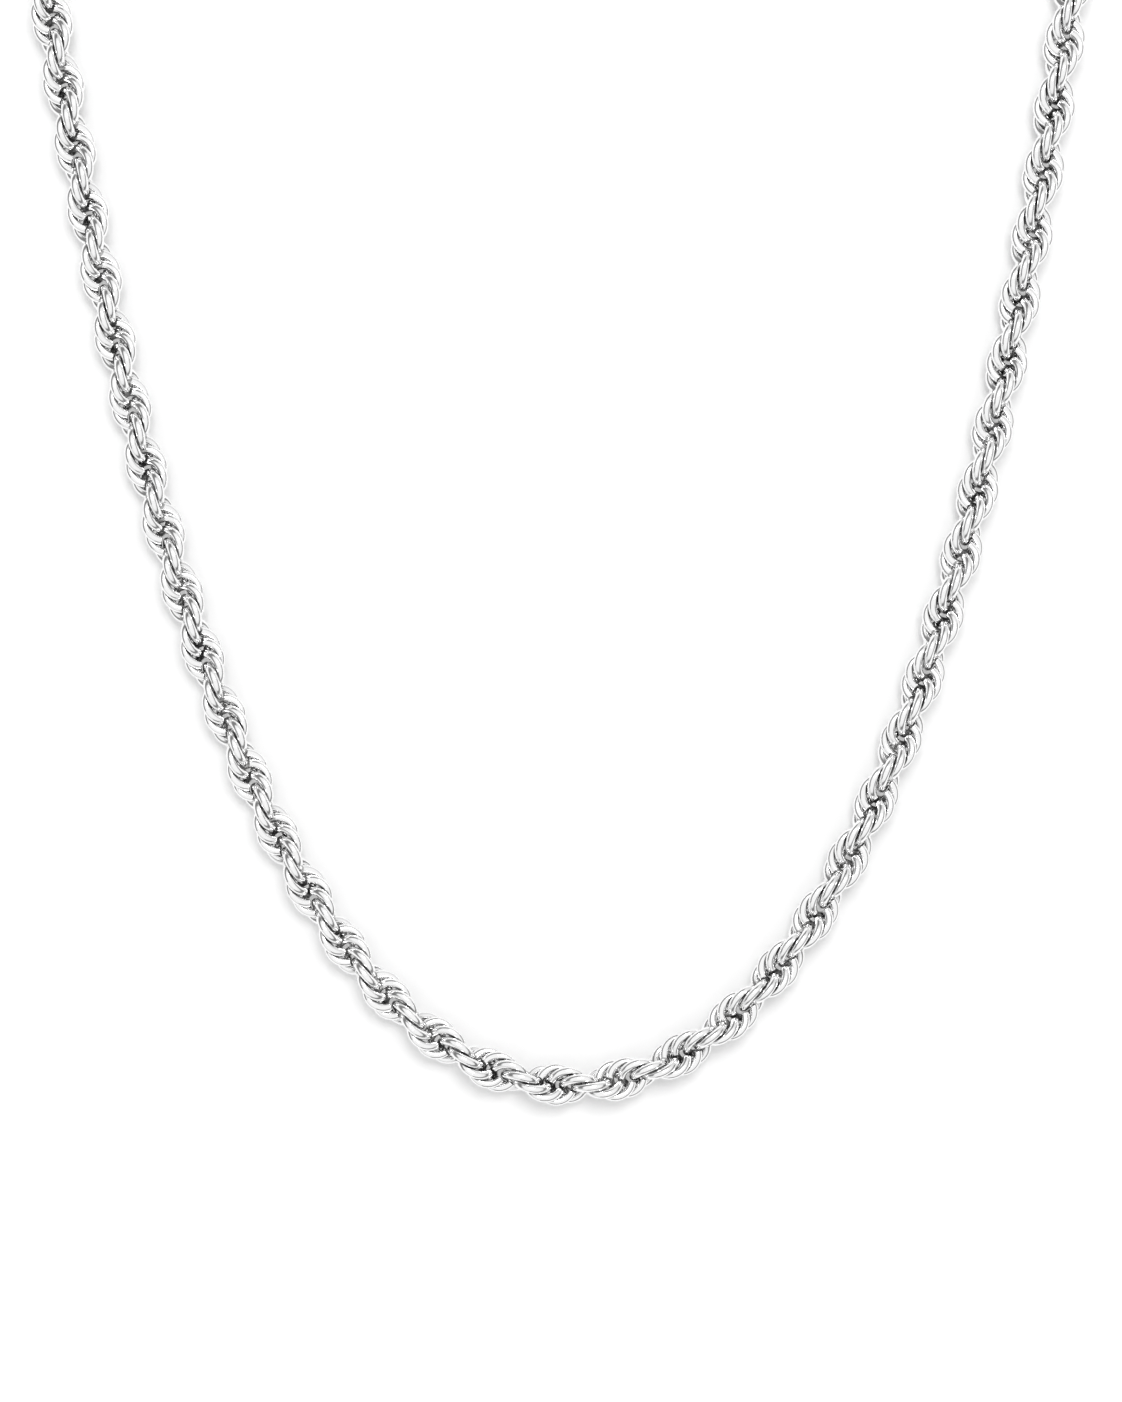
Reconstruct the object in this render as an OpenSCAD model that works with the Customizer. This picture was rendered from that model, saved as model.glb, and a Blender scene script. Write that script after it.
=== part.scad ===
// Rope-chain necklace, lying unclasped on a flat surface.
// X runs across the loop, Y from the front of the necklace to its clasp, Z up.
// The loop is a catenary at the front, closed by a round arch behind the neck.

/* [Rope] */
// Diameter of the round wire of the rope rings
wire_d = 0.96; // [0.85:0.01:0.98]
// Outside diameter of one rope ring, which is also the width of the rope
ring_od = 5; // [4.9:0.05:5.1]
// Distance along the rope from one ring to the next
ring_pitch = 1.41; // [1.4:0.01:1.48]
// Number of rings in one full turn of the rope
rings_per_turn = 11; // [10.8:0.1:11.2]
// Turn of the rope about its own middle at the front of the loop
front_turn = 45; // [0:5:175]
// Opening cut in each ring, which holds the wire of the third ring further on
ring_gap = 1.25; // [1.15:0.05:1.35]
// Number of rings in one group of links
group_rings = 8; // [6:1:10]
// Number of groups of links, an odd number so that one is at the front
groups = 43; // [37:2:43]

/* [Loop] */
// Radius of the curve at the very front of the loop
front_r = 23.9; // [22:0.1:30]
// Length of rope on each side, from the front to the start of the arch
side_len = 158; // [150:1:165]

/* [End caps] */
// Bore of the cup that the end of the rope is soldered into
cap_bore_d = 5.2; // [5.2:0.05:5.4]
// Wall thickness of the cup
cap_wall = 0.2; // [0.15:0.05:0.4]
// Depth of rope inside the cup
cap_depth = 3.2; // [2:0.1:5]
// How far the rolled rim stands out from the cup
cap_rim = 0.1; // [0.05:0.05:0.2]
// Wire diameter of the cap's eye
eye_wire_d = 0.84; // [0.7:0.02:0.9]
// Diameter of the cap's eye and the clasp's eye, to the middle of the wire
eye_d = 2.9; // [2.7:0.05:3]

/* [Rings at the clasp] */
// Diameter of both rings, to the middle of the wire
link_ring_d = 4.4; // [4.2:0.05:4.6]
// Wire diameter of the jump ring that carries the clasp
jump_wire_d = 0.75; // [0.6:0.05:0.8]
// Wire diameter of the catch ring that the clasp hooks into
catch_wire_d = 1; // [0.8:0.05:1]
// How much of the wire is flattened away inside the catch ring
catch_flat = 0.06; // [0.02:0.01:0.1]

/* [Clasp] */
// Length of the clasp's body from its eye to the end of the hook
clasp_len = 11; // [10:0.1:12]
// Width of the clasp across the hook
clasp_w = 6.2; // [5.6:0.1:6.6]
// Thickness of the clasp's body
clasp_t = 3; // [2.6:0.1:3.2]
// Thickness of metal round the hook's eye
hook_wall = 1.35; // [1.2:0.05:1.5]
// Thickness of the lever
lever_t = 1.1; // [0.9:0.1:1.2]
// Diameter of the pin that the lever turns on
pin_d = 0.7; // [0.6:0.05:0.8]
// Height of the middle of the clasp's body, below the middle of the rope
clasp_drop = 0.9; // [0.5:0.1:0.9]

/* [Hidden] */
$fn = 48;
eps = 0.01;

ring_r = (ring_od - wire_d) / 2;
ring_cut_angle = 2 * asin(ring_gap / 2 / ring_r);
twist = 360 / rings_per_turn;
ring_count = groups * group_rings;
rope_end = (ring_count - 1) / 2 * ring_pitch + ring_od / 2;

// The catenary's end, and the arch that leaves it without a corner
side_angle = atan(side_len / front_r);
side_x = front_r * ln(side_len / front_r + sqrt(pow(side_len / front_r, 2) + 1));
side_y = sqrt(front_r * front_r + side_len * side_len) - front_r;
arch_r = side_x / sin(side_angle);
loop_len_y = side_y + arch_r * (1 + cos(side_angle));

cap_r = cap_bore_d / 2 + cap_wall;
axis_z = cap_r + cap_rim;
cap_floor = 0.15;
cap_shoulder = 0.4;
dome_r = 1.2 * cap_r;
dome_x = cap_shoulder - sqrt(dome_r * dome_r - cap_r * cap_r);
eye_x = dome_x + dome_r + eye_d / 2 + 0.2;
link_r = link_ring_d / 2;

// Distances along the loop from the front to each pivot behind the neck
pivot_s = rope_end + eye_x;
clasp_s = pivot_s + link_ring_d;

clasp_z = axis_z - clasp_drop;
hook_r = clasp_w / 2;
hook_x = clasp_len - hook_r;
tail_r = 1.25;
tail_x = 2.75;
mouth_x0 = 4.9;
mouth_y = -0.2;
mouth_r = 5.3;
pivot_x = 4.05;
hub_r = 0.95;
hub_t = 0.6;
slot_t = lever_t + 0.2;
slot_x0 = 2.75;
slot_x1 = 5.4;
lever_gap = 0.1;
spring_wire_d = 0.2;

function two_digits(n) = str(n < 10 ? "0" : "", n);
function group_name(g) = str("links_", two_digits(g));
function heading(s) =
    abs(s) <= side_len
        ? atan(s / front_r)
        : sign(s) * (side_angle + (abs(s) - side_len) / arch_r * 180 / PI);
function side_point(s) = [
    front_r * ln(s / front_r + sqrt(pow(s / front_r, 2) + 1)),
    sqrt(front_r * front_r + s * s) - front_r
];
function arch_point(s) = [
    arch_r * sin(heading(s)),
    side_y + arch_r * (cos(side_angle) - cos(heading(s)))
];
function loop_point(s) =
    (abs(s) <= side_len ? side_point(s) : arch_point(s)) - [0, loop_len_y / 2];

// Puts its children at a point of the loop, with +X along the loop
module on_loop(s, z = axis_z) {
    translate([loop_point(s).x, loop_point(s).y, z])
        rotate([0, 0, heading(s)])
            children();
}

// Puts its children at one point of the loop, with +X aimed at another
module from_to(s0, s1, z = axis_z) {
    step = loop_point(s1) - loop_point(s0);
    translate([loop_point(s0).x, loop_point(s0).y, z])
        rotate([0, 0, atan2(step.y, step.x)])
            children();
}

// Round wire bent into a ring in the XY plane
module wire_ring(mean_d, wire) {
    rotate_extrude()
        translate([mean_d / 2, 0])
            circle(d = wire, $fn = 24);
}

// One rope ring, with its opening towards +X
module cut_ring() {
    rotate([0, 0, ring_cut_angle / 2])
        rotate_extrude(angle = 360 - ring_cut_angle)
            translate([ring_r, 0])
                circle(d = wire_d, $fn = 24);
}

// One group of threaded rings, each turned a little further round the rope
module links(g) {
    color("silver")
        for (i = [0 : group_rings - 1]) {
            n = (g - 1) * group_rings + i - (ring_count - 1) / 2;
            on_loop(n * ring_pitch)
                rotate([n * twist + front_turn, 0, 0])
                    cut_ring();
        }
}

// Cup, dome and eye, with the end of the rope at x = 0 and the eye towards +X
module end_cap() {
    difference() {
        union() {
            rotate([0, 90, 0])
                rotate_extrude()
                    cap_outline();
            translate([dome_x + dome_r - 0.4, 0, 0])
                rotate([0, 90, 0])
                    cylinder(d = eye_wire_d, h = 0.8);
            translate([eye_x, 0, 0])
                wire_ring(eye_d, eye_wire_d);
        }
        translate([-cap_depth - 1, 0, 0])
            rotate([0, 90, 0])
                cylinder(d = cap_bore_d, h = cap_depth + 1 + cap_floor);
    }
}

// Half section of the cup: a straight wall, a rolled rim and a domed end
module cap_outline() {
    rim_r = 0.4;
    translate([0, -cap_depth])
        square([cap_r, cap_depth + cap_shoulder]);
    translate([axis_z - rim_r, -cap_depth + rim_r])
        circle(r = rim_r, $fn = 24);
    intersection() {
        translate([0, dome_x])
            circle(r = dome_r);
        translate([0, cap_shoulder - eps])
            square([cap_r, dome_r]);
    }
}

module end_cap_left() {
    color("silver")
        on_loop(-rope_end)
            rotate([0, 0, 180])
                end_cap();
}

module end_cap_right() {
    color("silver")
        on_loop(rope_end)
            end_cap();
}

module jump_ring() {
    color("silver")
        from_to(-pivot_s, -clasp_s)
            translate([link_r, 0, 0])
                rotate([90, 0, 0])
                    wire_ring(link_ring_d, jump_wire_d);
}

// The inside is flattened a little, so it has a true round bore
module catch_ring() {
    color("silver")
        from_to(pivot_s, pivot_s + link_ring_d)
            translate([link_r, 0, 0])
                rotate([90, 0, 0])
                    rotate_extrude()
                        difference() {
                            translate([link_r, 0])
                                circle(d = catch_wire_d, $fn = 24);
                            translate([0, -catch_wire_d])
                                square([link_r - catch_wire_d / 2 + catch_flat, 2 * catch_wire_d]);
                        }
}

// Two circles joined by their common tangents
module teardrop(x0, r0, x1, r1) {
    tangent = acos((r0 - r1) / (x1 - x0));
    c = cos(tangent);
    s = sin(tangent);
    translate([x0, 0])
        circle(r = r0);
    translate([x1, 0])
        circle(r = r1);
    polygon([
        [x0 + r0 * c, r0 * s],
        [x1 + r1 * c, r1 * s],
        [x1 + r1 * c, -r1 * s],
        [x0 + r0 * c, -r0 * s]
    ]);
}

module hook_outline() {
    teardrop(tail_x, tail_r, hook_x, hook_r);
}

module hook_eye() {
    teardrop(hook_x - 1.9, hook_r - hook_wall - 0.85, hook_x, hook_r - hook_wall);
}

// What the lever closes, ending in an arc about its pivot and shrunk by a gap
module mouth(shrink) {
    intersection() {
        translate([pivot_x, 0])
            circle(r = mouth_r - shrink, $fn = 96);
        translate([mouth_x0 + shrink, mouth_y - hook_r])
            square([mouth_r, hook_r]);
    }
}

module in_clasp() {
    from_to(-clasp_s, -clasp_s - clasp_len, clasp_z)
        children();
}

module clasp_body() {
    color("silver")
        in_clasp() {
            difference() {
                translate([0, 0, -clasp_t / 2])
                    linear_extrude(clasp_t)
                        difference() {
                            hook_outline();
                            hook_eye();
                            mouth(0);
                        }
                translate([slot_x0, -hook_r, -slot_t / 2])
                    cube([slot_x1 - slot_x0, 2 * hook_r, slot_t]);
                translate([pivot_x, 0, -clasp_t])
                    cylinder(d = pin_d + 0.04, h = 2 * clasp_t);
            }
            difference() {
                wire_ring(eye_d, eye_wire_d);
                translate([tail_x - tail_r + 0.3, -eye_d, -eye_d])
                    cube(2 * eye_d);
            }
        }
}

// The hub on the pin, the arm that closes the mouth and the thumb tab behind
module clasp_lever() {
    tab_y = hook_r + 0.35;
    web_x = mouth_x0 + 0.6;
    color("silver")
        in_clasp()
            difference() {
                translate([0, 0, -lever_t / 2])
                    union() {
                        translate([pivot_x, 0, 0])
                            cylinder(r = hub_r, h = hub_t);
                        linear_extrude(hub_t) {
                            polygon([
                                [pivot_x - 0.6, -0.7],
                                [web_x, -2.1],
                                [web_x, -1.1],
                                [pivot_x + 0.6, 0.7]
                            ]);
                            polygon([
                                [pivot_x - 0.55, 0],
                                [pivot_x - 0.55, tab_y],
                                [pivot_x + 0.2, tab_y],
                                [pivot_x + 0.7, 0]
                            ]);
                        }
                        translate([pivot_x - 0.15, tab_y, 0])
                            cylinder(r = 0.55, h = lever_t);
                        linear_extrude(lever_t)
                            intersection() {
                                difference() {
                                    hook_outline();
                                    hook_eye();
                                }
                                mouth(lever_gap);
                            }
                    }
                translate([pivot_x, 0, -clasp_t])
                    cylinder(d = pin_d + 0.1, h = 2 * clasp_t);
            }
}

module clasp_pin() {
    color("silver")
        in_clasp()
            translate([pivot_x, 0, -clasp_t / 2])
                cylinder(d = pin_d, h = clasp_t);
}

// Two coils round the pin, with one leg towards the eye and one along the tab
module clasp_spring() {
    coil_d = pin_d + 0.7;
    coil_z = hub_t - lever_t / 2 + spring_wire_d / 2 + 0.03;
    coil_step = 1.2 * spring_wire_d;
    leg = 0.9;
    color("dimgray")
        in_clasp()
            translate([pivot_x, 0, coil_z]) {
                wire_ring(coil_d, spring_wire_d);
                translate([0, 0, coil_step])
                    wire_ring(coil_d, spring_wire_d);
                translate([-coil_d / 2 - leg, 0, 0])
                    rotate([0, 90, 0])
                        cylinder(d = spring_wire_d, h = leg);
                translate([0, coil_d / 2, coil_step])
                    rotate([-90, 0, 0])
                        cylinder(d = spring_wire_d, h = leg);
            }
}

for (g = [1 : groups]) links(g);
end_cap_left();
end_cap_right();
jump_ring();
catch_ring();
clasp_body();
clasp_lever();
clasp_pin();
clasp_spring();
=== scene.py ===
import math

import bpy
import numpy as np
from mathutils import Matrix, Vector


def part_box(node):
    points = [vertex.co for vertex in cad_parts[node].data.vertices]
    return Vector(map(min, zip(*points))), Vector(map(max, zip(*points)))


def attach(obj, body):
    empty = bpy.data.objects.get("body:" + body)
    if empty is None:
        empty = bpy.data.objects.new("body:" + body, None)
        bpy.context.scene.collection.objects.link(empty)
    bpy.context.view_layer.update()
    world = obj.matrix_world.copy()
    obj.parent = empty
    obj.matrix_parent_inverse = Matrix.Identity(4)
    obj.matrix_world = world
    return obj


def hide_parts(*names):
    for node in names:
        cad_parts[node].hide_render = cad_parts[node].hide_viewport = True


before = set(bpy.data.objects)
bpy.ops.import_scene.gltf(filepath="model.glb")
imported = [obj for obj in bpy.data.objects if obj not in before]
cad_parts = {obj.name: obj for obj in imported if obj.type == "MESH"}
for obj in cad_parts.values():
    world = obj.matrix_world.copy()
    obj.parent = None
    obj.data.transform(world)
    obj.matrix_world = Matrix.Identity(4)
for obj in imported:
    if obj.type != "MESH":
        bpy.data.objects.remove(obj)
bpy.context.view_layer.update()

# The rope and its loop, in mm, as in the part
MM = 0.001
RINGS_PER_GROUP = 8
GROUPS = 43
RING_PITCH = 1.41
RINGS_PER_TURN = 11
FRONT_TURN = 45
FRONT_R = 23.9
SIDE_LEN = 158
AXIS_Z = 2.9
RING_R = 2.01
ROPE_R = 2.5
GAP = 1.25
WIRE_R = 0.52
CUT_EDGE = 0.13

# Unevenness of the rings: degrees about the loop, mm along it
TURN_PLAY = 0.25
PLACE_PLAY = 0.005

# How far a ring reaches into its neighbours, and the gap that counts as open, in mm
NEIGHBOURS = 5
OPEN_GAP = 0.4

# How far visible pieces may lie off their CAD boxes, in mm
ROPE_MISS = 0.15
FITTING_MISS = 0.25

SIDE_ANGLE = math.atan(SIDE_LEN / FRONT_R)
SIDE_X = FRONT_R * math.asinh(SIDE_LEN / FRONT_R)
SIDE_Y = math.hypot(FRONT_R, SIDE_LEN) - FRONT_R
ARCH_R = SIDE_X / math.sin(SIDE_ANGLE)
LOOP_LEN_Y = SIDE_Y + ARCH_R * (1 + math.cos(SIDE_ANGLE))
RINGS = GROUPS * RINGS_PER_GROUP


def heading(s):
    """Direction of the loop at a distance s from the front."""
    if abs(s) <= SIDE_LEN:
        return math.atan(s / FRONT_R)
    return math.copysign(SIDE_ANGLE + (abs(s) - SIDE_LEN) / ARCH_R, s)


def loop_point(s):
    """A point of the loop at a distance s from the front."""
    if abs(s) <= SIDE_LEN:
        x = FRONT_R * math.asinh(s / FRONT_R)
        y = math.hypot(FRONT_R, s) - FRONT_R
    else:
        x = ARCH_R * math.sin(heading(s))
        y = SIDE_Y + ARCH_R * (math.cos(SIDE_ANGLE) - math.cos(heading(s)))
    return x, y - LOOP_LEN_Y / 2


def on_loop(s, turn=0, z=AXIS_Z):
    """Matrix that puts local X along the loop at s, turned about it."""
    x, y = loop_point(s)
    return (
        Matrix.Translation((x, y, z))
        @ Matrix.Rotation(heading(s), 4, "Z")
        @ Matrix.Rotation(turn, 4, "X")
    )


def moved(points, matrix):
    """Points put through a matrix."""
    m = np.array(matrix)
    return points @ m[:3, :3].T + m[:3, 3]


def make_mesh(name, points, faces, values=None, uv=None):
    """A smooth-shaded object from points in mm, with per-vertex values."""
    mesh = bpy.data.meshes.new(name)
    mesh.from_pydata((np.asarray(points) * MM).tolist(), [], faces)
    mesh.update()
    mesh.polygons.foreach_set("use_smooth", [True] * len(mesh.polygons))
    for key, array in (values or {}).items():
        layer = mesh.attributes.new(key, "FLOAT", "POINT")
        layer.data.foreach_set("value", np.asarray(array, np.float32))
    if uv is not None:
        corners = np.empty(len(mesh.loops), np.int32)
        mesh.loops.foreach_get("vertex_index", corners)
        layer = mesh.uv_layers.new(name="along_wire")
        layer.data.foreach_set("uv", np.asarray(uv, np.float32)[corners].ravel())
    obj = bpy.data.objects.new(name, mesh)
    bpy.context.scene.collection.objects.link(obj)
    return obj


def check_place(obj, node, allowed):
    """Stops the script if a piece lies further than allowed off its node's box."""
    points = np.empty(len(obj.data.vertices) * 3, np.float32)
    obj.data.vertices.foreach_get("co", points)
    points = points.reshape(-1, 3)
    low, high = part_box(node)
    miss = max(np.abs(points.min(0) - low).max(), np.abs(points.max(0) - high).max()) / MM
    if miss > allowed:
        raise ValueError(f"{obj.name}: {miss:.2f} mm off the frame")


def tube(path, radii, around=20):
    """Points, faces and wire coordinates of round wire along a path, with closed ends."""
    path = np.asarray(path, float)
    ahead = np.gradient(path, axis=0)
    ahead /= np.linalg.norm(ahead, axis=1)[:, None]
    side = np.cross(ahead[0], (0.0, 0.0, 1.0))
    if np.linalg.norm(side) < 0.1:
        side = np.cross(ahead[0], (0.0, 1.0, 0.0))
    angles = 2 * np.pi * np.arange(around) / around
    along = np.concatenate([[0], np.cumsum(np.linalg.norm(np.diff(path, axis=0), axis=1))])
    points, uv = [], []
    for k, (place, forward, radius) in enumerate(zip(path, ahead, radii)):
        side = side - forward * np.dot(side, forward)
        side /= np.linalg.norm(side)
        other = np.cross(forward, side)
        turned = np.outer(np.cos(angles), side) + np.outer(np.sin(angles), other)
        points.append(place + radius * turned)
        around_wire = np.abs(np.pi - angles) * max(radii)
        uv.append(np.stack([np.full(around, along[k]), around_wire], 1))
    faces = [tuple(reversed(range(around)))]
    for a in range(0, (len(path) - 1) * around, around):
        for j in range(around):
            k = (j + 1) % around
            faces.append((a + j, a + k, a + around + k, a + around + j))
    faces.append(tuple((len(path) - 1) * around + j for j in range(around)))
    return np.concatenate(points), faces, np.concatenate(uv)


def ring_shape(ring_r, wire_r, gap, edge, along=84, around=20):
    """A ring in the XY plane with a cut towards +X, its two ends rounded."""
    half_gap = math.asin(gap / 2 / ring_r)
    ends = [
        (half_gap + edge * (1 - math.cos(a)) / ring_r, wire_r - edge * (1 - math.sin(a)))
        for a in (0, math.pi / 6, math.pi / 3, math.pi / 2)
    ]
    start = ends[-1][0]
    middle = [(start + (2 * math.pi - 2 * start) * k / along, wire_r) for k in range(1, along)]
    stations = ends + middle + [(2 * math.pi - a, r) for a, r in reversed(ends)]
    path = [(ring_r * math.cos(a), ring_r * math.sin(a), 0) for a, _ in stations]
    return tube(path, [r for _, r in stations], around)


# Cast and stamped pieces, as smoothly joined solids on a fine grid
def join(a, b, blend):
    """The nearer of two surfaces, with a fillet where they meet."""
    h = np.clip(0.5 + 0.5 * (b - a) / blend, 0, 1)
    return b + (a - b) * h - blend * h * (1 - h)


def both(a, b, blend):
    """What two solids share, with a rounded edge."""
    return -join(-a, -b, blend)


def cut(a, b, blend):
    """The first solid less the second, with a rounded edge."""
    return both(a, -b, blend)


def slab(v, low, high):
    """The space between two parallel planes."""
    return np.maximum(low - v, v - high)


def torus(radial, axial, ring_r, wire_r):
    """A ring of round wire."""
    return np.hypot(radial - ring_r, axial) - wire_r


def teardrop(x, y, x0, r0, x1, r1):
    """Distance to two circles on the X axis joined by their common tangents."""
    y = np.abs(y)
    lean = (r1 - r0) / (x1 - x0)
    slope = math.sqrt(1 - lean * lean)
    u, v = x - x0, y
    k = u * slope + v * lean
    length = x1 - x0
    flat = v * slope - u * lean - r0
    tail = np.hypot(u, v) - r0
    head = np.hypot(u - length, v) - r1
    return np.where(k < 0, tail, np.where(k > length * slope, head, flat))


def rounded_plate(outline, z, low, high, radius):
    """An outline's distance made into a plate with rounded edges."""
    a = outline + radius
    b = slab(z, low, high) + radius
    return np.hypot(np.maximum(a, 0), np.maximum(b, 0)) + np.minimum(np.maximum(a, b), 0) - radius


def solid(field, low, high, step):
    """Points and faces of the surface where field is zero, by surface nets."""
    counts = [int(math.ceil((b - a) / step)) + 1 for a, b in zip(low, high)]
    axes = [a + step * np.arange(n) for a, n in zip(low, counts)]
    value = field(*np.meshgrid(*axes, indexing="ij"))
    inside = value < 0
    total = np.zeros([n - 1 for n in counts] + [3])
    hits = np.zeros([n - 1 for n in counts])
    quads = []
    corner = np.stack(np.meshgrid(*[np.arange(n - 1) for n in counts], indexing="ij"), -1)
    for axis in range(3):
        first = [slice(0, -1) if k == axis else slice(None) for k in range(3)]
        second = [slice(1, None) if k == axis else slice(None) for k in range(3)]
        a, b = value[tuple(first)], value[tuple(second)]
        crossed = (a < 0) != (b < 0)
        share = np.where(crossed, a / np.where(crossed, a - b, 1), 0)
        others = [k for k in range(3) if k != axis]
        for du in (0, 1):
            for dv in (0, 1):
                take = [slice(None)] * 3
                take[others[0]] = slice(du, counts[others[0]] - 1 + du)
                take[others[1]] = slice(dv, counts[others[1]] - 1 + dv)
                c, s = crossed[tuple(take)], share[tuple(take)]
                hits += c
                total[..., axis] += np.where(c, corner[..., axis] + s, 0)
                total[..., others[0]] += np.where(c, corner[..., others[0]] + du, 0)
                total[..., others[1]] += np.where(c, corner[..., others[1]] + dv, 0)
        place = np.argwhere(crossed)
        keep = (place[:, others[0]] > 0) & (place[:, others[1]] > 0)
        keep &= place[:, others[0]] < counts[others[0]] - 1
        keep &= place[:, others[1]] < counts[others[1]] - 1
        place = place[keep]
        u, v = np.eye(3, dtype=int)[others[0]], np.eye(3, dtype=int)[others[1]]
        loop = np.stack([place, place - u, place - u - v, place - v], 1)
        flip = inside[tuple(place.T)] != (axis == 1)
        loop[~flip] = loop[~flip][:, ::-1]
        quads.append(loop)
    used = hits > 0
    number = np.cumsum(used.ravel()).reshape(used.shape) - 1
    points = total[used] / hits[used][:, None] * step + np.array(low)
    quads = np.concatenate(quads)
    faces = number[quads[..., 0], quads[..., 1], quads[..., 2]]
    for _ in range(3):
        here = field(*points.T)
        steps = np.eye(3) * 0.001
        rise = [field(*(points + d).T) - field(*(points - d).T) for d in steps]
        slope = np.stack([r / 0.002 for r in rise], 1)
        size = np.maximum((slope**2).sum(1), 0.2)
        move = -slope * (here / size)[:, None]
        points += np.clip(move, -step / 2, step / 2)
    return points, [tuple(f) for f in faces.tolist()]


# Rope
# Nearness to neighbouring wires, used as the mask for the painted shade in the rope's creases
def crevices(points):
    """How near each point of a ring lies to the wire of its neighbours: 1 touching, 0 open."""
    nearest = np.full(len(points), 1.0)
    for k in [*range(-NEIGHBOURS, 0), *range(1, NEIGHBOURS + 1)]:
        a = -k * 2 * math.pi / RINGS_PER_TURN
        x = points[:, 0] - k * RING_PITCH
        y = points[:, 1] * math.cos(a) - points[:, 2] * math.sin(a)
        z = points[:, 1] * math.sin(a) + points[:, 2] * math.cos(a)
        nearest = np.minimum(nearest, np.hypot(np.hypot(x, y) - RING_R, z) - WIRE_R)
    return 1 - np.clip(nearest / OPEN_GAP, 0, 1)


def rope_group(group, shape, chance):
    """The rings of one group as one mesh, each with its own small unevenness."""
    ring_points, ring_faces, ring_uv = shape
    points, faces, depth, tone, uv = [], [], [], [], []
    crevice = crevices(ring_points)
    for i in range(RINGS_PER_GROUP):
        n = (group - 1) * RINGS_PER_GROUP + i - (RINGS - 1) / 2
        extra = chance.uniform(-TURN_PLAY, TURN_PLAY)
        turn = math.radians(n * 360 / RINGS_PER_TURN + FRONT_TURN + extra)
        s = n * RING_PITCH + chance.uniform(-PLACE_PLAY, PLACE_PLAY)
        start = len(points) * len(ring_points)
        points.append(moved(ring_points, on_loop(s, turn)))
        faces += [tuple(start + v for v in f) for f in ring_faces]
        depth.append(np.hypot(ring_points[:, 1], ring_points[:, 2]) / ROPE_R)
        tone.append(np.full(len(ring_points), chance.uniform(0, 1)))
        uv.append(ring_uv + (17.0 * i + 136.0 * group, 0))
    values = {
        "depth": np.concatenate(depth),
        "tone": np.concatenate(tone),
        "crevice": np.tile(crevice, RINGS_PER_GROUP),
    }
    return make_mesh(
        f"rope_rings_{group:02d}", np.concatenate(points), faces, values, np.concatenate(uv)
    )


# Materials
class Nodes:
    """A material's node tree, with short calls to add and join its nodes."""

    def __init__(self, name):
        self.material = bpy.data.materials.new(name)
        self.material.use_nodes = True
        self.tree = self.material.node_tree
        self.shader = self.tree.nodes["Principled BSDF"]

    def add(self, kind, inputs=None, **settings):
        node = self.tree.nodes.new("ShaderNode" + kind)
        for key, value in settings.items():
            setattr(node, key, value)
        for key, value in (inputs or {}).items():
            self.join(value, node.inputs[key])
        return node

    def join(self, value, socket):
        if isinstance(value, bpy.types.NodeSocket):
            self.tree.links.new(value, socket)
        else:
            socket.default_value = value

    def ramp(self, value, low, high, to_low, to_high):
        node = self.add(
            "MapRange",
            {
                "Value": value,
                "From Min": low,
                "From Max": high,
                "To Min": to_low,
                "To Max": to_high,
            },
            interpolation_type="SMOOTHSTEP",
        )
        return node.outputs["Result"]

    def mix(self, share, a, b):
        node = self.add("Mix", data_type="RGBA")
        self.join(share, node.inputs["Factor"])
        self.join(a, node.inputs[6])
        self.join(b, node.inputs[7])
        return node.outputs[2]

    def noise(self, place, scale, detail=2.0, stretch=(1, 1, 1)):
        at = self.add("Mapping", {"Vector": place, "Scale": stretch}).outputs[0]
        node = self.add("TexNoise", {"Vector": at, "Scale": scale, "Detail": detail})
        return node.outputs["Fac"]

    def sum(self, a, b, operation="ADD"):
        node = self.add("Math", operation=operation)
        self.join(a, node.inputs[0])
        self.join(b, node.inputs[1])
        return node.outputs[0]


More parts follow.
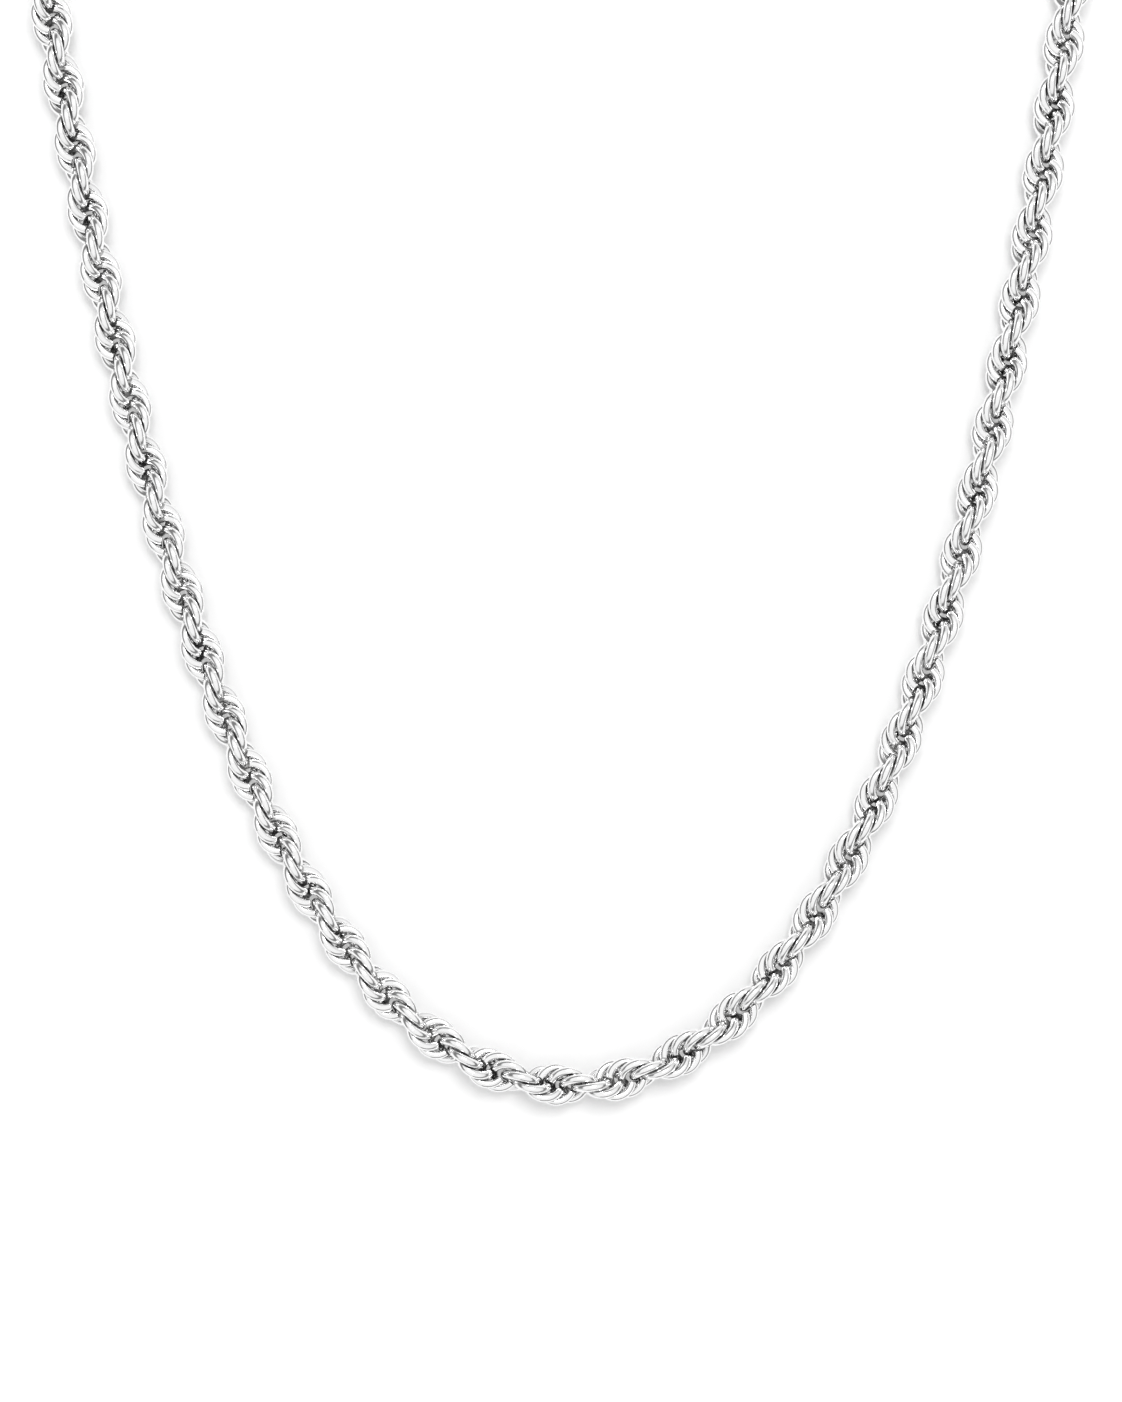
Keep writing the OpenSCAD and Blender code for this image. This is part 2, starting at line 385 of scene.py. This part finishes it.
def silver(name, tint, wire=False, rope=False):
    """Polished metal with fine lines, clouding, and in the rope painted shade that darkens the
    creases.
    """

    def shade(*rgb):
        return (*(c * k for c, k in zip(rgb, tint)), 1)

    m = Nodes(name)
    m.shader.inputs["Metallic"].default_value = 1.0
    at = m.add("TexCoord")
    if wire:
        along = m.add("UVMap", uv_map="along_wire").outputs["UV"]
        lines = m.noise(along, 1.0, 3.0, (0.35, 22.0, 1.0))
    else:
        lines = m.noise(at.outputs["Object"], 1500.0, 3.0, (1.0, 1.0, 0.15))
    if rope:
        depth = m.add("Attribute", attribute_name="depth").outputs["Fac"]
        tone = m.add("Attribute", attribute_name="tone").outputs["Fac"]
        hidden = m.ramp(depth, 0.1, 0.4, 1.0, 0.0)
        crevice = m.add("Attribute", attribute_name="crevice").outputs["Fac"]
        # Painted shade: creases where neighbouring wires touch are darkened nearly to black and
        # made less metallic, more so in noise patches
        crease_shade_patches = m.ramp(m.noise(at.outputs["Object"], 330.0, 1.0), 0.38, 0.58, 0.45, 1.0)
        painted_crease_shade = m.sum(m.ramp(crevice, 0.32, 0.62, 0.0, 1.0), crease_shade_patches, "MULTIPLY")
        m.join(m.ramp(painted_crease_shade, 0.3, 1.0, 1.0, 0.3), m.shader.inputs["Metallic"])
    else:
        tone = m.noise(at.outputs["Object"], 120.0)
    cloud = m.noise(at.outputs["Object"], 420.0, 3.0)
    polished = m.mix(tone, shade(0.96, 0.96, 0.96), shade(0.985, 0.984, 0.982))
    clouded = m.mix(m.ramp(cloud, 0.55, 0.85, 0.0, 0.3), polished, shade(0.9, 0.897, 0.89))
    colour = clouded
    if rope:
        colour = m.mix(hidden, clouded, shade(0.93, 0.927, 0.92))
        # Painted shade in the creases, laid over the metal's colour
        colour = m.mix(painted_crease_shade, colour, shade(0.03, 0.03, 0.03))
    m.join(colour, m.shader.inputs["Base Color"])
    rough = m.sum(m.ramp(cloud, 0.35, 0.75, 0.05, 0.13), m.ramp(lines, 0.45, 0.8, 0.0, 0.07))
    if rope:
        rough = m.sum(rough, m.ramp(depth, 0.35, 0.8, 0.03, 0.0))
    m.join(rough, m.shader.inputs["Roughness"])
    bump = m.add("Bump", {"Strength": 0.25, "Distance": 0.000012, "Height": lines})
    m.join(bump.outputs[0], m.shader.inputs["Normal"])
    return m.material


def paint(obj, material):
    """Gives an object its only material."""
    obj.data.materials.clear()
    obj.data.materials.append(material)
    return obj


# The fittings are darker than the rope so that they show against the white ground
ROPE_TINT = (0.97, 0.97, 0.972)
FITTING_TINT = (0.83, 0.83, 0.835)
STEEL_TINT = (0.5, 0.5, 0.51)
rope_silver = silver("rope_silver", ROPE_TINT, wire=True, rope=True)
wire_silver = silver("wire_silver", FITTING_TINT, wire=True)
plain_silver = silver("plain_silver", FITTING_TINT)
spring_steel = silver("spring_steel", STEEL_TINT, wire=True)

chance = np.random.default_rng(11)
shape = ring_shape(RING_R, WIRE_R, GAP, CUT_EDGE)
for group in range(1, GROUPS + 1):
    node = f"links_{group:02d}"
    rope = paint(rope_group(group, shape, chance), rope_silver)
    check_place(rope, node, ROPE_MISS)
    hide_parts(node)
    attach(rope, f"rope_{group:02d}")

# Fittings behind the neck, in mm
EYE_WIRE_R, EYE_R = 0.42, 1.45
CUP_R, CUP_BORE_R, CUP_DEPTH, CUP_SHOULDER = 2.8, 2.6, 3.2, 0.4
DOME_R = 1.2 * CUP_R
DOME_X = CUP_SHOULDER - math.sqrt(DOME_R**2 - CUP_R**2)
EYE_X = DOME_X + DOME_R + EYE_R + 0.2
LINK_R, JUMP_WIRE_R, CATCH_WIRE_R = 2.2, 0.375, 0.5
ROPE_END = (RINGS - 1) / 2 * RING_PITCH + ROPE_R
PIVOT_S = ROPE_END + EYE_X
CLASP_S = PIVOT_S + 2 * LINK_R
CLASP_Z = AXIS_Z - 0.9
CLASP_LEN, CLASP_T = 11, 3
HOOK_R, HOOK_WALL, TAIL_R, TAIL_X = 3.1, 1.35, 1.25, 2.75
HOOK_X = CLASP_LEN - HOOK_R
PIVOT_X, PIN_R, HUB_R, HUB_T = 4.05, 0.35, 0.95, 0.6
LEVER_T, LEVER_GAP = 1.1, 0.1
SPRING_WIRE_R = 0.1


def from_to(s0, s1, z=AXIS_Z):
    """Matrix that puts local X from one point of the loop towards another."""
    (x0, y0), (x1, y1) = loop_point(s0), loop_point(s1)
    turn = math.atan2(y1 - y0, x1 - x0)
    return Matrix.Translation((x0, y0, z)) @ Matrix.Rotation(turn, 4, "Z")


def fitting(name, shape, matrix, node, body, material):
    """One visible piece that stands for a CAD node and rides on its body."""
    points, faces = shape[:2]
    uv = shape[2] if len(shape) > 2 else None
    obj = paint(make_mesh(name, moved(points, matrix), faces, uv=uv), material)
    check_place(obj, node, FITTING_MISS)
    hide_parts(node)
    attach(obj, body)


def cap_field(x, y, z):
    """Stamped cup with a rolled rim, turned lines, a dome and a soldered eye."""
    radial = np.hypot(y, z)
    cup = both(radial - CUP_R, slab(x, -CUP_DEPTH, CUP_SHOULDER + 1), 0.1)
    cup = both(cup, np.hypot(x - DOME_X, radial) - DOME_R, 0.25)
    cup = join(cup, torus(radial, x + CUP_DEPTH - 0.4, CUP_R - 0.3, 0.4), 0.15)
    for line in (-0.25, -0.65):
        cup = cut(cup, torus(radial, x - line, CUP_R + 0.03, 0.1), 0.05)
    top = DOME_X + DOME_R
    neck = both(radial - EYE_WIRE_R * 0.9, slab(x, top - 0.5, top + 0.4), 0.05)
    eye = torus(np.hypot(x - EYE_X, y), z, EYE_R, EYE_WIRE_R)
    whole = join(join(cup, neck, 0.3), eye, 0.25)
    return cut(whole, both(radial - CUP_BORE_R, slab(x, -9, 0.15), 0.1), 0.06)


def hook_outline(x, y):
    """Outside of the hook, seen from above."""
    return teardrop(x, y, TAIL_X, TAIL_R, HOOK_X, HOOK_R)


def hook_eye(x, y):
    """The hook's opening."""
    hole_r = HOOK_R - HOOK_WALL
    return teardrop(x, y, HOOK_X - 1.9, hole_r - 0.85, HOOK_X, hole_r)


def mouth(x, y, shrink):
    """The part of the hook's wall that the lever stands in for."""
    arc = np.hypot(x - PIVOT_X, y) - (5.3 - shrink)
    return np.maximum(arc, np.maximum(4.9 + shrink - x, y + 0.2 + shrink))


def clasp_field(x, y, z):
    """Cast hook with soft edges, a slot for the lever, a pin hole and its own eye."""
    outline = cut(hook_outline(x, y), hook_eye(x, y), 0.1)
    outline = cut(outline, mouth(x, y, 0), 0.12)
    crown = 0.12 * np.clip((x - 2) / 9, 0, 1)
    body = rounded_plate(outline, z, -CLASP_T / 2 + crown, CLASP_T / 2 - crown, 0.42)
    slot = np.maximum(slab(x, 2.75, 5.4), slab(z, -0.65, 0.65))
    body = cut(body, slot, 0.1)
    body = cut(body, np.hypot(x - PIVOT_X, y) - PIN_R - 0.02, 0.08)
    eye = torus(np.hypot(x, y), z, EYE_R, EYE_WIRE_R)
    eye = both(eye, x - (TAIL_X - TAIL_R + 0.3), 0.05)
    return join(body, eye, 0.2)


def lever_field(x, y, z):
    """Lever with its hub, arm, closing tongue and thumb tab."""
    low = -LEVER_T / 2
    outline = both(cut(hook_outline(x, y), hook_eye(x, y), 0.05), mouth(x, y, LEVER_GAP), 0.1)
    tongue = rounded_plate(outline, z, low, -low, 0.2)
    hub = rounded_plate(np.hypot(x - PIVOT_X, y) - HUB_R, z, low, low + HUB_T, 0.08)

    def strip(x0, y0, x1, y1, r):
        dx, dy = x1 - x0, y1 - y0
        t = np.clip(((x - x0) * dx + (y - y0) * dy) / (dx * dx + dy * dy), 0, 1)
        away = np.hypot(x - x0 - t * dx, y - y0 - t * dy)
        return rounded_plate(away - r, z, low, low + HUB_T, 0.08)

    arm = strip(PIVOT_X, 0, 5.35, -1.5, 0.5)
    tab_y = HOOK_R + 0.35
    stalk = strip(PIVOT_X, 0.2, PIVOT_X - 0.15, tab_y, 0.36)
    thumb = np.hypot(x - PIVOT_X + 0.15, y - tab_y) - 0.55
    thumb = rounded_plate(thumb, z, low, -low, 0.25)
    whole = join(join(hub, arm, 0.1), join(stalk, thumb, 0.15), 0.1)
    whole = join(whole, tongue, 0.1)
    return cut(whole, np.hypot(x - PIVOT_X, y) - PIN_R - 0.05, 0.05)


def pin_field(x, y, z):
    """Rivet with low domed heads."""
    radial = np.hypot(x, y)
    head = np.hypot(radial, np.maximum(np.abs(z) - CLASP_T / 2 + 0.9, 0)) - 0.95
    return both(radial - PIN_R, head, 0.08)


def spring_path():
    """Nearly two coils round the pin, with a leg towards the eye and one along the tab."""
    coil_r, turns, rise = PIN_R + 0.35, 1.75, 0.24
    z0 = HUB_T - LEVER_T / 2 + SPRING_WIRE_R + 0.03
    coil = []
    for t in np.linspace(0, turns, 70):
        a = 2 * math.pi * t
        coil.append((coil_r * math.sin(a), -coil_r * math.cos(a), z0 + rise * t / turns))
    start = [(-0.3 * k, -coil_r, z0) for k in range(5, 0, -1)]
    end = [(-coil_r + 0.1 * k, 0.3 * k, z0 + rise) for k in range(1, 6)]
    return start + coil + end


cap_shape = solid(cap_field, (-3.4, -3.1, -3.1), (5.6, 3.1, 3.1), 0.08)
half_turn = Matrix.Rotation(math.pi, 4, "Z")
fitting("cap_left", cap_shape, on_loop(-ROPE_END) @ half_turn,
        "end_cap_left", "rope_01", plain_silver)
fitting("cap_right", cap_shape, on_loop(ROPE_END),
        "end_cap_right", f"rope_{GROUPS:02d}", plain_silver)

upright = Matrix.Translation((LINK_R, 0, 0)) @ Matrix.Rotation(math.pi / 2, 4, "X")
seam = Matrix.Rotation(math.radians(70), 4, "Z")
fitting("clasp_ring", ring_shape(LINK_R, JUMP_WIRE_R, 0.03, 0.05, 120, 24),
        from_to(-PIVOT_S, -CLASP_S) @ upright @ seam,
        "jump_ring", "jump_ring", wire_silver)
fitting("end_ring", ring_shape(LINK_R, CATCH_WIRE_R, 0.02, 0.03, 120, 24),
        from_to(PIVOT_S, CLASP_S) @ upright @ seam,
        "catch_ring", "catch_ring", wire_silver)

in_clasp = from_to(-CLASP_S, -CLASP_S - CLASP_LEN, CLASP_Z)
at_pin = in_clasp @ Matrix.Translation((PIVOT_X, 0, 0))
fitting("hook", solid(clasp_field, (-2.1, -3.4, -1.7), (11.3, 3.4, 1.7), 0.07), in_clasp,
        "clasp_body", "clasp", plain_silver)
fitting("lever", solid(lever_field, (2.8, -3.4, -0.8), (9.8, 4.3, 0.8), 0.06), in_clasp,
        "clasp_lever", "lever", plain_silver)
fitting("pin", solid(pin_field, (-0.5, -0.5, -1.7), (0.5, 0.5, 1.7), 0.04), at_pin,
        "clasp_pin", "clasp", plain_silver)
spring = spring_path()
fitting("spring", tube(spring, [SPRING_WIRE_R] * len(spring), 12), at_pin,
        "clasp_spring", "clasp", spring_steel)


# Floor, lights and camera
def emitter(name, size, place, aim, power):
    """A soft rectangular light aimed at a point."""
    data = bpy.data.lights.new(name, "AREA")
    data.shape = "RECTANGLE"
    data.size, data.size_y = size
    data.energy = power
    obj = bpy.data.objects.new(name, data)
    obj.location = place
    obj.rotation_euler = (Vector(aim) - Vector(place)).to_track_quat("-Z", "Y").to_euler()
    bpy.context.scene.collection.objects.link(obj)


floor_mesh = bpy.data.meshes.new("floor")
floor_mesh.from_pydata([(-3, -3, 0), (3, -3, 0), (3, 3, 0), (-3, 3, 0)], [], [(0, 1, 2, 3)])
floor = bpy.data.objects.new("floor", floor_mesh)
bpy.context.scene.collection.objects.link(floor)
pale = Nodes("floor")
pale.shader.inputs["Base Color"].default_value = (0.8, 0.8, 0.8, 1)
pale.shader.inputs["Emission Color"].default_value = (1, 1, 1, 1)
pale.shader.inputs["Emission Strength"].default_value = 0.1
pale.shader.inputs["Roughness"].default_value = 0.8
pale.shader.inputs["Specular IOR Level"].default_value = 0.1
paint(floor, pale.material)


# Dark cards that only the polished metal sees, as at the edge of a light tent
CARD_R = 0.7
CARD_STEPS = 16


def dark_card(name, start, end, low, high):
    """A curved upright card from one angle to another and between two elevations."""
    points, faces = [], []
    for k in range(CARD_STEPS + 1):
        a = math.radians(start + (end - start) * k / CARD_STEPS)
        for e in (low, high):
            height = CARD_R * math.tan(math.radians(e))
            points.append((CARD_R * math.cos(a), CARD_R * math.sin(a), height))
    for k in range(CARD_STEPS):
        faces.append((2 * k, 2 * k + 1, 2 * k + 3, 2 * k + 2))
    mesh = bpy.data.meshes.new(name)
    mesh.from_pydata(points, [], faces)
    card = bpy.data.objects.new(name, mesh)
    bpy.context.scene.collection.objects.link(card)
    m = Nodes(name)
    split = m.add("SeparateXYZ", {"Vector": m.add("TexCoord").outputs["Generated"]})
    off_middle = m.sum(m.sum(split.outputs["Z"], 0.5, "SUBTRACT"), 0.0, "ABSOLUTE")
    m.shader.inputs["Base Color"].default_value = (0, 0, 0, 1)
    m.shader.inputs["Roughness"].default_value = 1.0
    m.shader.inputs["Specular IOR Level"].default_value = 0.0
    m.shader.inputs["Emission Color"].default_value = (1, 1, 1, 1)
    m.join(m.ramp(off_middle, 0.2, 0.5, 0.22, 0.8), m.shader.inputs["Emission Strength"])
    paint(card, m.material)
    card.visible_camera = False
    card.visible_diffuse = False
    card.visible_shadow = False


dark_card("dark_card_wide", 85, 210, 2, 42)
dark_card("dark_card_narrow", -105, 20, 3, 30)

world = bpy.data.worlds.new("studio")
bpy.context.scene.world = world
world.use_nodes = True
sky = world.node_tree.nodes["Background"]
sky.inputs["Color"].default_value = (1, 1, 1, 1)
sky_place = world.node_tree.nodes.new("ShaderNodeTexCoord")
sky_split = world.node_tree.nodes.new("ShaderNodeSeparateXYZ")
sky_ramp = world.node_tree.nodes.new("ShaderNodeMapRange")
sky_ramp.interpolation_type = "SMOOTHSTEP"
sky_ramp.inputs["From Min"].default_value = 0.3
sky_ramp.inputs["From Max"].default_value = 0.8
sky_ramp.inputs["To Min"].default_value = 0.75
sky_ramp.inputs["To Max"].default_value = 0.98
world.node_tree.links.new(sky_place.outputs["Generated"], sky_split.inputs[0])
world.node_tree.links.new(sky_split.outputs["Z"], sky_ramp.inputs["Value"])
world.node_tree.links.new(sky_ramp.outputs["Result"], sky.inputs["Strength"])

emitter("key", (0.4, 0.4), (0.08, 0.3, 0.95), (0, -0.03, 0), 4.2)

bpy.context.scene.view_settings.view_transform = "Standard"

# The camera looks straight down; the picture's height is measured at the rope's middle
PICTURE_H = 0.16684
ROLL = -0.0122
LENS = 85
SENSOR = 36
FRONT_UP, FRONT_LEFT = 0.0457, 0.00155
centre = Vector(loop_point(0)) * MM
right = Vector((math.cos(ROLL), math.sin(ROLL)))
up = Vector((-math.sin(ROLL), math.cos(ROLL)))
centre += up * FRONT_UP - right * FRONT_LEFT
camera_data = bpy.data.cameras.new("camera")
camera_data.lens = LENS
camera_data.clip_start, camera_data.clip_end = 0.01, 20
camera = bpy.data.objects.new("camera", camera_data)
camera.location = (*centre, AXIS_Z * MM + PICTURE_H * LENS / SENSOR)
camera.rotation_euler = (0, 0, ROLL)
bpy.context.scene.collection.objects.link(camera)
bpy.context.scene.camera = camera

bpy.context.view_layer.update()
